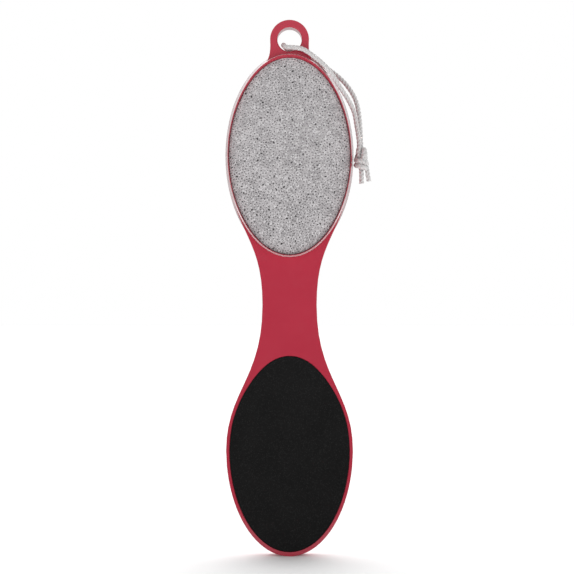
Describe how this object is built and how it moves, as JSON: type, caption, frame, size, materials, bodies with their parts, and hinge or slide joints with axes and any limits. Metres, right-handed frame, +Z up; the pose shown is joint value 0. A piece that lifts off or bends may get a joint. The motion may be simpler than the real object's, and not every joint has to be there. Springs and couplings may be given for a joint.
{
  "type": "pumice foot brush",
  "caption": "Plastic foot-care paddle with a pumice stone, an emery pad, a nail brush, a steel file and a hanging ring with a knotted cord loop.",
  "frame": {"origin": "centre of the hanging ring's hole, at the middle of the plate's thickness", "axes": "+Z up along the paddle towards the ring, +Y towards the brush side, so the stone faces -Y, +X to the right as the stone side is looked at"},
  "size_m": [0.0654, 0.0227, 0.24],
  "materials": {
    "red_plastic": "smooth gloss, moulded",
    "pumice": "rough and porous, grey",
    "glue": "set glue, hidden",
    "emery": "black abrasive grit on a backing sheet",
    "tape": "double-sided tape, hidden",
    "brush_plastic": "satin moulded plate",
    "nylon": "translucent white bristles",
    "steel": "stamped steel with file teeth",
    "cotton": "off-white twisted cord"
  },
  "bodies": {
    "paddle": {"paddle_body": "red_plastic", "pumice_stone": "pumice", "stone_glue_bed": "glue", "coarse_emery_pad": "emery", "emery_pad_tape": "tape", "brush_base": "brush_plastic", "brush_bristles": "nylon", "metal_file": "steel", "metal_file_tape": "tape"},
    "cord": {"cord_loop": "cotton", "cord_knot": "cotton", "cord_tail_left": "cotton", "cord_tail_right": "cotton"}
  },
  "joints": [
    {"name": "cord_swing", "type": "hinge", "parent": "paddle", "child": "cord", "pos_m": [0, 0, 0], "axis": [0, -1, 0], "range_deg": [0, 240]}
  ]
}
